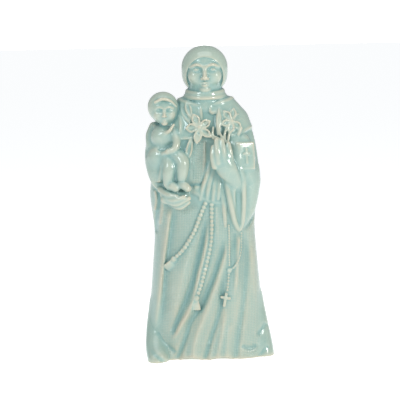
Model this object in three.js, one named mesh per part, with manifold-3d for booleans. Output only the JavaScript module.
// Hollow cast, glazed ceramic statuette of a friar who carries a Child and a spray of lilies.
// Millimetres, +Z up, front towards -Y. The origin is the centre of the bounding box's base.
// The hollow body is cast in a front and a back half; every other piece is modelled by itself
// and luted onto it with slip. Each piece is fitted to whatever lies under it, with a joint gap.
import * as THREE from "three";
import { mergeVertices } from "three/addons/utils/BufferGeometryUtils.js";
import Module from "manifold-3d";

const wasm = await Module();
wasm.setup();

// ---- Driving dimensions -------------------------------------------------------------------

const height = 250;          // foot to crown
const width = 100;           // habit at the hem, without the trailing corners
const depth = 50;            // habit at the hem, front to back
const wall = 4.5;            // clay wall of the cast body
const jointGap = 0.3;        // slip joint between neighbouring pieces
const seamY = -2;            // plane where the two cast halves meet
const sectionPower = 2.5;    // squareness of the body's horizontal sections
const reliefBed = 4;         // extra wall behind the folds
const foldStand = 2.2;       // how far a main fold stands out
const foldWidth = 4;         // half width of a main fold

const footHeight = 7;        // foot slab that closes the bottom of the body
const pourHoleWidth = 34;    // hole in the foot, where the slip is poured out
const pourHoleDepth = 16;

const headWidth = 34;
const headDepth = 34;
const headHeight = 36;
const headDrop = 18;         // centre of the head below the crown
const headRise = height - headDrop;
const hairThickness = 1.6;
const neckWidth = 25;
const collarWidth = 35;
const collarDepth = 30;
const collarThickness = 6;
const capeThickness = 2.6;
const capeSlit = 3.2;
const hoodLength = 34;

const childHeadWidth = 23;
const childHeadHeight = 25;
const childHeadDepth = 22;
const childChestWidth = 19;
const childArmWidth = 7;
const childLegWidth = 9.5;
const childFootLength = 9;

const sleeveWidth = 23;      // upper arm with its sleeve
const sleeveDrop = 46;       // hanging end of the wide sleeve
const fingerWidth = 4.6;
const bookWidth = 14;
const bookHeight = 21;
const bookThickness = 10;
const coverThickness = 1.4;
const crossLength = 12;
const crossArm = 6;

const petalLength = 9;
const petalWidth = 6.4;
const budWidth = 5.4;
const stemWidth = 2.4;
const leafWidth = 5;

const ropeWidth = 3.6;
const knotWidth = 5.4;
const tasselWidth = 7.5;
const beadStrandWidth = 2.6;
const medalWidth = 5.6;
const rosaryCrossLength = 12;
const rosaryCrossArm = 8.4;

// ---- Clay and glaze -----------------------------------------------------------------------

const glaze = (colour, roughness = 0.15) =>
  new THREE.MeshStandardMaterial({ color: colour, roughness, metalness: 0 });
const finish = {
  habit: () => glaze(0x9cc3bb),
  cloak: () => glaze(0xa4c9c4),
  skin: () => glaze(0xaccdc6),
  relief: () => glaze(0xa9c6b8),
  foot: () => glaze(0xc9c6b4, 0.6),
};

// ---- Body sections ------------------------------------------------------------------------

// Outline of the clothed body: height, then reach to the left, right, front and back.
// The heights and reaches are for a body 250 high, 100 wide and 50 deep.
const outline = [
  [0, 50.5, 49.5, 27, 23],
  [10, 50.5, 49, 27, 23],
  [30, 48.6, 44.6, 27, 23],
  [60, 46, 40.2, 27, 22],
  [90, 43, 37.6, 26, 21],
  [105, 42.4, 36.8, 25, 20],
  [120, 44, 37.4, 25, 20],
  [132, 45, 38, 25, 20],
  [150, 43, 37, 24, 19.5],
  [170, 39, 35.6, 23, 18.5],
  [184, 35, 34, 21, 17],
  [192, 31, 31, 18.5, 15.5],
  [200, 25, 25, 15.5, 14],
  [207, 18, 18, 12.5, 12],
  [213, 12.5, 12.5, 10.5, 10.5],
];
const scaleX = width / 100;
const scaleY = depth / 50;
const scaleZ = height / 250;

function section(z) {
  const last = outline.length - 1;
  const h = THREE.MathUtils.clamp(z / scaleZ, outline[0][0], outline[last][0]);
  let i = 1;
  while (i < last && outline[i][0] < h) i++;
  const [low, high] = [outline[i - 1], outline[i]];
  const t = (h - low[0]) / (high[0] - low[0]);
  const reach = (k) => THREE.MathUtils.lerp(low[k], high[k], t);
  return {
    left: reach(1) * scaleX,
    right: reach(2) * scaleX,
    front: reach(3) * scaleY,
    back: reach(4) * scaleY,
  };
}

// Main folds of the habit, each from its upper to its lower end, as [x, z] points.
const folds = [
  [[-29, 122], [-34, 96], [-38, 64], [-43, 28]],
  [[-9, 104], [-17, 80], [-27, 47], [-33, 16]],
  [[0, 108], [-5, 83], [-14, 47], [-30, 17]],
  [[15, 97], [8, 70], [-1, 45], [-11, 14], [-13, 2]],
  [[13, 44], [9, 22], [5, 2]],
  [[25, 99], [22, 70], [17, 42], [13, 6]],
  [[33, 103], [35, 77], [37, 50], [43, 20]],
].map((line) => line.map(([x, z]) => new THREE.Vector2(x * scaleX, z * scaleZ)));

function distanceToLine(point, line) {
  let nearest = Infinity;
  for (let i = 1; i < line.length; i++) {
    const along = line[i].clone().sub(line[i - 1]);
    const offset = point.clone().sub(line[i - 1]);
    const t = THREE.MathUtils.clamp(offset.dot(along) / along.lengthSq(), 0, 1);
    nearest = Math.min(nearest, offset.sub(along.multiplyScalar(t)).length());
  }
  return nearest;
}

function foldRelief(x, z) {
  const point = new THREE.Vector2(x, z);
  const swell = (line) => Math.exp(-((distanceToLine(point, line) / foldWidth) ** 2));
  return foldStand * Math.max(...folds.map(swell));
}

// The y of the habit's front at a given x and z, without and with its folds.
function smoothFront(x, z, grow = 0) {
  const s = section(z);
  const reach = (x < 0 ? s.left : s.right) + grow;
  const share = Math.min(Math.abs(x) / reach, 0.985);
  return -(s.front + grow) * (1 - share ** sectionPower) ** (1 / sectionPower);
}
const foldedFront = (x, z) => smoothFront(x, z) - foldRelief(x, z);

// A point that stands a stated distance out from the folded front, at design x and z.
function onFront(x, z, out) {
  const [px, pz] = [x * scaleX, z * scaleZ];
  return new THREE.Vector3(px, foldedFront(px, pz) - out, pz);
}
// The same on the front without its folds, which larger pieces are seated on.
function onBody(x, z, out) {
  const [px, pz] = [x * scaleX, z * scaleZ];
  return new THREE.Vector3(px, smoothFront(px, pz) - out, pz);
}

// ---- Solids -------------------------------------------------------------------------------

function solid(geometry) {
  geometry.deleteAttribute("normal");
  geometry.deleteAttribute("uv");
  const merged = mergeVertices(geometry, 1e-4);
  return new wasm.Manifold(
    new wasm.Mesh({
      numProp: 3,
      vertProperties: new Float32Array(merged.attributes.position.array),
      triVerts: new Uint32Array(merged.index.array),
    }),
  );
}

// A closed skin over rings of points, each ring seen anticlockwise from the ring after it.
function loft(rings) {
  const count = rings[0].length;
  const centre = (ring) =>
    ring.reduce((sum, p) => sum.add(p), new THREE.Vector3()).divideScalar(count);
  const points = [...rings.flat(), centre(rings[0]), centre(rings.at(-1))];
  const index = [];
  const topStart = (rings.length - 1) * count;
  for (let j = 0; j < count; j++) {
    const k = (j + 1) % count;
    for (let row = 0; row < topStart; row += count)
      index.push(row + j, row + k, row + count + k, row + j, row + count + k, row + count + j);
    index.push(points.length - 2, k, j, points.length - 1, topStart + j, topStart + k);
  }
  const geometry = new THREE.BufferGeometry().setFromPoints(points);
  geometry.setIndex(index);
  return solid(geometry);
}

// A horizontal section of the body, grown outwards; folds are raised on it where asked.
function bodyRing(z, grow, sides, folded) {
  const s = section(z);
  const round = (value) => Math.sign(value) * Math.abs(value) ** (2 / sectionPower);
  return Array.from({ length: sides }, (_, i) => {
    const angle = (i / sides) * 2 * Math.PI;
    const [c, d] = [round(Math.cos(angle)), round(Math.sin(angle))];
    const x = c * ((c < 0 ? s.left : s.right) + grow);
    let y = d * ((d < 0 ? s.front : s.back) + grow);
    if (folded && d < 0) y -= foldRelief(x, z) * Math.min(1, -2 * d);
    return new THREE.Vector3(x, y, z);
  });
}
function bodySolid(zLow, zHigh, grow, { rows = 12, sides = 28, folded = false } = {}) {
  const rings = Array.from({ length: rows + 1 }, (_, i) =>
    bodyRing(THREE.MathUtils.lerp(zLow, zHigh, i / rows), grow, sides, folded),
  );
  return loft(rings);
}

function ball(at, size, { turn = [0, 0, 0], grow = 0, sides = 12 } = {}) {
  const geometry = new THREE.SphereGeometry(1, sides, Math.max(4, Math.round(sides * 0.6)));
  const half = (length) => length / 2 + grow;
  geometry.scale(half(size[0]), half(size[1]), half(size[2]));
  geometry.applyMatrix4(new THREE.Matrix4().makeRotationFromEuler(new THREE.Euler(...turn)));
  geometry.translate(at.x, at.y, at.z);
  return solid(geometry);
}

// A round-ended limb along points, with its own width at each of them.
function limb(points, widths, { grow = 0, sides = 8, stepsEach = 2, flat = 1 } = {}) {
  const curve = new THREE.CatmullRomCurve3(points, false, "centripetal");
  const steps = (points.length - 1) * stepsEach;
  const frames = curve.computeFrenetFrames(steps);
  const ring = (i, slide, shrink) => {
    const share = (i / steps) * (widths.length - 1);
    const low = Math.min(Math.floor(share), widths.length - 2);
    const wide = THREE.MathUtils.lerp(widths[low], widths[low + 1], share - low);
    const radius = wide / 2 + grow;
    const centre = curve.getPoint(i / steps).addScaledVector(frames.tangents[i], slide * radius);
    return Array.from({ length: sides }, (_, j) => {
      const angle = (j / sides) * 2 * Math.PI;
      return centre
        .clone()
        .addScaledVector(frames.normals[i], Math.cos(angle) * radius * shrink * flat)
        .addScaledVector(frames.binormals[i], Math.sin(angle) * radius * shrink);
    });
  };
  const rings = [ring(0, -0.8, 0.55)];
  for (let i = 0; i <= steps; i++) rings.push(ring(i, 0, 1));
  rings.push(ring(steps, 0.8, 0.55));
  return loft(rings);
}

function box(at, size, { turn = [0, 0, 0], grow = 0 } = {}) {
  const geometry = new THREE.BoxGeometry(...size.map((length) => length + 2 * grow));
  geometry.applyMatrix4(new THREE.Matrix4().makeRotationFromEuler(new THREE.Euler(...turn)));
  geometry.translate(at.x, at.y, at.z);
  return solid(geometry);
}

// All that lies in front of the casting seam (-1) or behind it (1).
const beyondSeam = (sign, grow) =>
  box(
    new THREE.Vector3(0, seamY + sign * (depth * 2 + jointGap / 2 - grow), height / 2),
    [width * 3, depth * 4, height * 2],
  );
const join = (...solids) => solids.reduce((sum, next) => sum.add(next));
const point = (x, y, z) => new THREE.Vector3(x * scaleX, y * scaleY, z * scaleZ);
const widthsLike = (points, size) => points.map(() => size);

// ---- Pieces -------------------------------------------------------------------------------
// Each is a function of how far the piece is grown, which its neighbours are cut with.
// They are listed from the body outwards: a piece is cut by all those before it.

const pieces = [];
const add = (name, material, shape) => pieces.push({ name, material, shape });

function addFriarHead() {
  const centre = point(0, -4, 0).setZ(headRise);
  const neckPoints = [centre.clone().setZ(headRise - 28), centre.clone().setZ(headRise - 10)];
  add("head", finish.skin, (grow) =>
    join(
      ball(centre, [headWidth, headDepth, headHeight], { grow, sides: 14 }),
      limb(neckPoints, [neckWidth, neckWidth * 0.94], { grow, sides: 12 }),
    ),
  );
  add("hair_cap", finish.skin, (grow) => {
    const size = [headWidth, headDepth, headHeight].map((s) => s + 2 * hairThickness);
    const faceAt = centre.clone().add(new THREE.Vector3(0, -headDepth * 0.45, -headHeight * 0.14));
    const faceSize = [headWidth * 0.84, headDepth * 0.8, headHeight * 0.98];
    const belowAt = centre.clone().add(new THREE.Vector3(0, 0, -headHeight * 0.8));
    const below = [headWidth * 2, headDepth * 2, headHeight * 0.9];
    return ball(centre, size, { grow, sides: 14 })
      .subtract(ball(faceAt, faceSize, { sides: 14 }))
      .subtract(box(belowAt, below));
  });
}

function addCollarAndCape() {
  const rise = 210 * scaleZ;
  const low = 186 * scaleZ;
  const top = 207 * scaleZ;
  const cape = (grow) =>
    bodySolid(low - grow, top + grow, capeThickness + grow, { rows: 3, sides: 28 });
  add("cape_back", finish.cloak, (grow) => cape(grow).intersect(beyondSeam(1, grow)));
  const front = (sign) => (grow) => {
    const sideOfSlit = box(
      new THREE.Vector3(sign * (width + capeSlit / 2 - grow), 0, top),
      [width * 2, depth * 4, height],
    );
    return cape(grow).intersect(beyondSeam(-1, grow)).intersect(sideOfSlit);
  };
  add("cape_front_right", finish.cloak, front(-1));
  add("cape_front_left", finish.cloak, front(1));
  add("hood", finish.cloak, (grow) => {
    const at = (y, drop) => point(0, y, 208).add(new THREE.Vector3(0, 0, -drop));
    const bag = [at(13, 0), at(17, hoodLength * 0.5), at(19, hoodLength)];
    return limb(bag, [20, 17, 5], { grow, sides: 12, stepsEach: 3 });
  });
  add("collar_roll", finish.cloak, (grow) => {
    const ring = new THREE.TorusGeometry(collarWidth / 2, collarThickness / 2 + grow, 6, 20);
    ring.scale(1, collarDepth / collarWidth, 1);
    ring.rotateX(0.06);
    ring.translate(0, -3 * scaleY, rise);
    return solid(ring);
  });
}

function addChild() {
  const headAt = onBody(-33, 201, 9);
  add("child_head", finish.skin, (grow) => {
    const skull = ball(headAt, [childHeadWidth, childHeadDepth, childHeadHeight], {
      grow,
      sides: 14,
    });
    const nape = headAt.clone().add(new THREE.Vector3(1, 1, -childHeadHeight * 0.3));
    const throat = nape.clone().add(new THREE.Vector3(1, 1, -childHeadHeight * 0.45));
    return join(skull, limb([nape, throat], [9, 9], { grow }));
  });
  add("child_hair", finish.skin, (grow) => {
    const size = [childHeadWidth, childHeadDepth, childHeadHeight].map(
      (s) => s + 2 * hairThickness,
    );
    const faceAt = headAt.clone().add(new THREE.Vector3(1, -childHeadDepth * 0.5, -5));
    const faceSize = [childHeadWidth * 0.8, childHeadDepth, childHeadHeight * 0.9];
    const belowAt = headAt.clone().add(new THREE.Vector3(0, 0, -childHeadHeight * 0.7));
    const below = [childHeadWidth * 2, childHeadDepth * 2, childHeadHeight * 0.8];
    return ball(headAt, size, { grow, sides: 14 })
      .subtract(ball(faceAt, faceSize, { sides: 12 }))
      .subtract(box(belowAt, below));
  });
  add("child_collar", finish.relief, (grow) => {
    const loop = [onBody(-38, 186, 8), onBody(-31, 184, 10), onBody(-26, 188, 8)];
    return limb(loop, [4, 4.6, 4], { grow, stepsEach: 3 });
  });
  add("child_left_arm", finish.relief, (grow) => {
    const line = [onBody(-25, 181, 7), onBody(-23, 172, 10), onBody(-29, 166, 11)];
    return limb(line, [childArmWidth, childArmWidth, childArmWidth * 0.8], { grow });
  });
  add("child_right_arm", finish.relief, (grow) => {
    const line = [onBody(-42, 184, 4), onBody(-44, 174, 6), onBody(-38, 167, 9)];
    return limb(line, [childArmWidth, childArmWidth, childArmWidth * 0.8], { grow });
  });
  const leg = (hip, knee, ankle) => (grow) =>
    limb([hip, knee, ankle], [childLegWidth * 1.1, childLegWidth, childLegWidth * 0.62], {
      grow,
      stepsEach: 3,
      sides: 10,
    });
  const foot = (heel, toe) => (grow) => {
    const middle = heel.clone().lerp(toe, 0.5);
    const along = toe.clone().sub(heel);
    const turn = [0, Math.atan2(-along.z, along.x), 0];
    return ball(middle, [childFootLength, childFootLength * 0.6, childFootLength * 0.6], {
      grow,
      turn,
      sides: 10,
    });
  };
  const rightAnkle = onBody(-28, 142, 11);
  const leftAnkle = onBody(-18, 145, 11);
  add("child_right_foot", finish.skin, foot(rightAnkle, onBody(-23, 135, 12)));
  add("child_left_foot", finish.skin, foot(leftAnkle, onBody(-12, 136, 12)));
  add("child_left_leg", finish.skin, leg(onBody(-25, 162, 8), onBody(-19, 160, 11), leftAnkle));
  add("child_right_leg", finish.skin, leg(onBody(-35, 162, 8), onBody(-31, 155, 11), rightAnkle));
  add("child_tunic", finish.relief, (grow) => {
    const chest = ball(onBody(-34, 175, 5), [childChestWidth, 16, 26], { grow, sides: 10 });
    const skirt = ball(onBody(-31, 160, 4), [24, 16, 18], { grow, sides: 10 });
    return join(chest, skirt);
  });
}

const finger = (points) => (grow) =>
  limb(points, [fingerWidth, fingerWidth, fingerWidth * 0.8], { grow, sides: 6, stepsEach: 1 });
const hand = (palm, fingers) => (grow) => join(palm(grow), ...fingers.map((f) => f(grow)));

function addFriarRightHand() {
  add(
    "right_hand",
    finish.skin,
    hand((grow) => ball(onBody(-22, 131, 5), [22, 14, 12], { grow, turn: [0, 0.2, 0] }), [
      finger([onBody(-36, 135.5, 6), onBody(-30, 133, 10), onBody(-25, 132, 11)]),
      finger([onBody(-30, 131, 7), onBody(-25, 130, 11), onBody(-20, 132, 12)]),
      finger([onBody(-29, 127, 6), onBody(-22, 129, 11), onBody(-14, 132.5, 11)]),
      finger([onBody(-28, 124, 4), onBody(-21, 125, 8), onBody(-14, 129, 8)]),
    ]),
  );
}

function addFriarLeftHand() {
  add(
    "left_hand",
    finish.skin,
    hand(
      (grow) =>
        limb([onBody(22, 142, 6), onBody(17, 152, 9), onBody(12, 163, 10)], [13, 16, 15], {
          grow,
          sides: 12,
          flat: 0.7,
        }),
      [
        finger([onBody(6, 160, 12), onBody(4.5, 167, 13), onBody(5.5, 173, 12)]),
        finger([onBody(9, 162, 14), onBody(7.5, 170, 15), onBody(7.5, 177, 14)]),
        finger([onBody(14, 163, 14), onBody(12.5, 170, 15), onBody(12, 176, 14)]),
        finger([onBody(19, 162, 12), onBody(18, 168, 13), onBody(17, 174, 12)]),
      ],
    ),
  );
}

function addBook() {
  const at = onBody(28.5, 163, 6);
  const turn = [0.12, 0, 0.28];
  const seat = new THREE.Matrix4().makeRotationFromEuler(new THREE.Euler(...turn));
  const placed = (x, y, z) => new THREE.Vector3(x, y, z).applyMatrix4(seat).add(at);
  const face = -bookThickness / 2 - coverThickness - jointGap;
  add("book_cross", finish.relief, (grow) => {
    const upright = box(placed(0, face - 0.5, 0), [1.8, 1, crossLength], { turn, grow });
    const arm = box(placed(0, face - 0.5, crossLength * 0.12), [crossArm, 1, 1.8], { turn, grow });
    return join(upright, arm);
  });
  add("book_cover", finish.relief, (grow) => {
    const size = [bookWidth + 1.6, coverThickness, bookHeight + 1.6];
    return box(placed(0.4, face + coverThickness / 2, 0), size, { turn, grow });
  });
  add("book_pages", finish.relief, (grow) =>
    box(placed(0, 0, 0), [bookWidth, bookThickness, bookHeight], { turn, grow }),
  );
}

function addLilies() {
  const petal = (centre, angle, reach, grow) => {
    const out = new THREE.Vector3(Math.cos(angle), -0.1, Math.sin(angle));
    const at = centre.clone().addScaledVector(out, reach * 0.55);
    return ball(at, [petalLength, petalWidth * 0.6, petalWidth], {
      grow,
      turn: [0, -angle, 0],
      sides: 6,
    });
  };
  const bloom = (centre, petals, reach, lean) => (grow) => {
    const cup = ball(centre, [6, 6, 6], { grow, sides: 6 });
    const ring = Array.from({ length: petals }, (_, i) =>
      petal(centre, lean + (i / petals) * 2 * Math.PI, reach, grow),
    );
    return join(cup, ...ring);
  };
  add("lily_left", finish.relief, bloom(onBody(-6.5, 185, 9), 6, 10.5, 0.5));
  add("lily_right", finish.relief, bloom(onBody(21, 190.5, 8), 6, 9.5, 0.2));
  const bud = (low, high) => (grow) =>
    limb([low, low.clone().lerp(high, 0.5), high], [budWidth * 0.6, budWidth, budWidth * 0.5], {
      grow,
    });
  add("lily_bud_tall", finish.relief, bud(onBody(9.6, 181, 7), onBody(10.4, 198, 7)));
  add("lily_bud_small", finish.relief, bud(onBody(25, 180, 7), onBody(28, 186, 7)));
  const leaf = (from, to) => (grow) =>
    limb([from, from.clone().lerp(to, 0.5), to], [leafWidth * 0.5, leafWidth, leafWidth * 0.3], {
      grow,
      sides: 6,
    });
  add("lily_leaf_upper", finish.relief, leaf(onBody(-13, 191, 4), onBody(-20, 204, 4)));
  add("lily_leaf_middle", finish.relief, leaf(onBody(-11.5, 194, 4), onBody(-14.5, 207, 3)));
  add("lily_leaf_lower", finish.relief, leaf(onBody(-11, 176, 3), onBody(-14, 160, 2)));
  add("lily_stems", finish.relief, (grow) => {
    const stem = (...points) =>
      limb(points, widthsLike(points, stemWidth), { grow, sides: 6, stepsEach: 1 });
    return join(
      stem(onBody(13, 172, 7), onBody(2, 178, 7), onBody(-6, 183, 6)),
      stem(onBody(13, 172, 7), onBody(12, 180, 7), onBody(10, 187, 6)),
      stem(onBody(13, 172, 7), onBody(17, 181, 7), onBody(21, 188, 6)),
    );
  });
}

function addSleeves() {
  add("right_sleeve", finish.cloak, (grow) =>
    limb(
      [point(-28, 0, 188), point(-35.5, -5, 172), point(-37, -8, 157), point(-35.5, -14, 144)],
      [sleeveWidth * 0.9, sleeveWidth * 1.1, sleeveWidth * 1.1, sleeveWidth * 0.7],
      { grow, sides: 14 },
    ),
  );
  add("left_sleeve", finish.cloak, (grow) => {
    const arm = limb(
      [point(26, 0, 188), point(29.5, -3, 172), point(31.5, -6, 155), point(30, -12, 138)],
      [sleeveWidth * 0.85, sleeveWidth * 0.85, sleeveWidth * 0.9, sleeveWidth],
      { grow, sides: 12 },
    );
    const low = 150 * scaleZ - sleeveDrop;
    const bell = limb(
      [onBody(25, 144, 2), onBody(24, 128, 1), onBody(24.5, 110, 0).setZ(low + 4)],
      [22, 18, 4],
      { grow, sides: 12 },
    );
    const mouth = limb([onBody(24.5, 138, 13), onBody(24, 112, 9.5)], [5, 2.4], {
      grow: -grow,
      sides: 6,
    });
    return join(arm, bell).subtract(mouth);
  });
}

function addBelt() {
  const pleat = (...points) => (grow) => limb(points, widthsLike(points, 4.4), { grow, sides: 7 });
  add("belt_band", finish.relief, (grow) => {
    const line = [onBody(-30, 139, 0), onBody(-8, 134, 0.4), onBody(3, 127.5, 0.6), onBody(18, 126, 0)];
    return limb(line, widthsLike(line, 4.4), { grow, sides: 8 });
  });
  add("pleat_left", finish.habit, pleat(onBody(2.7, 158, 0.6), onBody(0, 147, 1.2), onBody(-5.5, 130, 1)));
  add("pleat_middle", finish.habit, pleat(onBody(5.8, 153, 0.6), onBody(2.5, 143, 1.4), onBody(0, 130, 1)));
  add("pleat_right", finish.habit, pleat(onBody(8.4, 147, 0.6), onBody(6.4, 138, 1.4), onBody(5, 129.5, 1)));
  add("tunic_fold", finish.habit, pleat(onBody(11, 141, 0.8), onBody(12.4, 127, 1.2), onBody(13.6, 109, 0.8)));
}

function addCords() {
  const cord = (points) => (grow) => limb(points, widthsLike(points, ropeWidth), { grow, sides: 6 });
  const tassel = (knot, tip) => (grow) =>
    join(
      ball(knot, [knotWidth, knotWidth, knotWidth], { grow, sides: 8 }),
      limb([knot, knot.clone().lerp(tip, 0.6), tip], [3.4, tasselWidth * 0.8, tasselWidth], {
        grow,
        sides: 8,
        flat: 0.7,
        stepsEach: 1,
      }),
    );
  const shortKnot = [-27.5, 81];
  const longKnot = [-10.6, 51];
  add("cord_tassel_short", finish.relief, tassel(onFront(...shortKnot, 1.5), onFront(-31.5, 74, 1.6)));
  add("cord_tassel_long", finish.relief, tassel(onFront(...longKnot, 1.4), onFront(-11.6, 44, 1.6)));
  // Each cord ends just above its knot.
  const above = ([x, z], side, rise) => [x + side, z + (knotWidth / 2 + rise) / scaleZ];
  const shortLine = [[-2, 125], [-6, 116], [-10.3, 105], [-15.2, 96], [-20.2, 89], above(shortKnot, 2.5, 0.8)];
  const longLine = [[3.3, 125], [3, 112], [2.3, 96], [-0.4, 83], [-2.9, 73.6], [-5.5, 64], above(longKnot, 1.6, 1.3)];
  const laid = (line) => line.map(([x, z]) => onFront(x, z, 0.6));
  add("cord_short", finish.relief, cord(laid(shortLine)));
  add("cord_long", finish.relief, cord(laid(longLine)));
}

function addRosary() {
  const strand = (line) => (grow) => {
    const points = line.map(([x, z]) => onFront(x, z, 0.5));
    return limb(points, widthsLike(points, beadStrandWidth), { grow, sides: 6 });
  };
  const centre = [12.8, 49];
  const medalRise = 72;
  const medalReach = medalWidth / 2 / scaleZ;
  add("rosary_cross", finish.relief, (grow) => {
    const at = onFront(...centre, 0.9);
    const turn = [0, 0.2, 0];
    const thick = 2.4;
    const upright = box(at, [2.4, thick, rosaryCrossLength], { turn, grow });
    const armAt = at.clone().add(new THREE.Vector3(0.3, 0, 1.4));
    return join(upright, box(armAt, [rosaryCrossArm, thick, 2.4], { turn, grow }));
  });
  add("rosary_medal", finish.relief, (grow) =>
    ball(onFront(16, medalRise, 0.8), [medalWidth, 3.6, medalWidth], { grow, sides: 10 }),
  );
  const pendantTop = medalRise - medalReach - 1.2;
  add("rosary_pendant", finish.relief, strand([[15.8, pendantTop], [15.2, 62], [14.6, 57]]));
  const leftEnd = medalRise + medalReach + 1.7;
  add("rosary_strand_left", finish.relief, strand([[16.6, 108], [16.6, 98], [16.3, 87], [16.2, leftEnd]]));
  add("rosary_strand_right", finish.relief, strand([[26.2, 101], [25.6, 88], [23.4, 80], [20, 74.6]]));
}

function addHem() {
  const corner = (points, widths) => (grow) => {
    const floor = box(new THREE.Vector3(0, 0, -50), [400, 400, 100]);
    return limb(points, widths, { grow, sides: 12, stepsEach: 3 }).subtract(floor);
  };
  add(
    "hem_corner_right",
    finish.cloak,
    corner([point(-46, -14, 40), point(-46, -21, 17), point(-43.5, -27, 6)], [6, 13, 15]),
  );
  add(
    "hem_corner_left",
    finish.cloak,
    corner([point(40.5, -14, 44), point(44, -18, 19), point(45, -22, 6)], [6, 12, 14]),
  );
}

function addBody() {
  const shoulder = 212 * scaleZ;
  const foot = footHeight;
  const hollow = bodySolid(foot - 1, shoulder - 3 * wall, -wall - reliefBed / 2, {
    rows: 8,
    sides: 20,
  });
  // What is fitted to the body is cut by the filled form, so nothing is left in the hollow.
  const shell = (grow) => {
    const outer = bodySolid(foot + jointGap - grow, shoulder + grow, grow, {
      rows: 18,
      sides: 40,
      folded: true,
    });
    return grow > 0 ? outer : outer.subtract(hollow);
  };
  add("body_front", finish.habit, (grow) => shell(grow).intersect(beyondSeam(-1, grow)));
  add("body_back", finish.cloak, (grow) => shell(grow).intersect(beyondSeam(1, grow)));
  add("foot_slab", finish.foot, (grow) => {
    const slab = bodySolid(0, foot + grow, grow, { rows: 1, sides: 40 });
    const hole = new THREE.CylinderGeometry(0.5, 0.5, 4 * foot, 32);
    hole.rotateX(Math.PI / 2);
    hole.scale(pourHoleWidth, pourHoleDepth, 1);
    hole.translate(0, -1, 0);
    return slab.subtract(solid(hole));
  });
}

addBody();
addSleeves();
addCollarAndCape();
addFriarHead();
addBelt();
addCords();
addRosary();
addHem();
addChild();
addFriarRightHand();
addBook();
addLilies();
addFriarLeftHand();

// ---- Assembly -----------------------------------------------------------------------------

function meet(a, b) {
  const [p, q] = [a.boundingBox(), b.boundingBox()];
  return [0, 1, 2].every((k) => p.min[k] <= q.max[k] && q.min[k] <= p.max[k]);
}

// A cut can leave crumbs beside a piece; the piece is its largest body.
function largestBody(shape) {
  const bodies = shape.decompose();
  return bodies.reduce((best, next) => (next.volume() > best.volume() ? next : best));
}

function toMesh(name, shape, material) {
  const mesh = shape.getMesh();
  const geometry = new THREE.BufferGeometry();
  geometry.setAttribute("position", new THREE.BufferAttribute(mesh.vertProperties, 3));
  geometry.setIndex(new THREE.BufferAttribute(mesh.triVerts, 1));
  geometry.computeVertexNormals();
  const result = new THREE.Mesh(geometry, material);
  result.name = name;
  return result;
}

const statuette = new THREE.Group();
const beds = [];
for (const { name, material, shape } of pieces) {
  let body = shape(0);
  for (const bed of beds) if (meet(body, bed)) body = body.subtract(bed);
  statuette.add(toMesh(name, largestBody(body), material()));
  beds.push(shape(jointGap));
}

// The origin goes to the centre of the base of the bounding box.
const bounds = new THREE.Box3().setFromObject(statuette);
const middle = bounds.getCenter(new THREE.Vector3());
statuette.position.set(-middle.x, -middle.y, -bounds.min.z);

export default statuette;
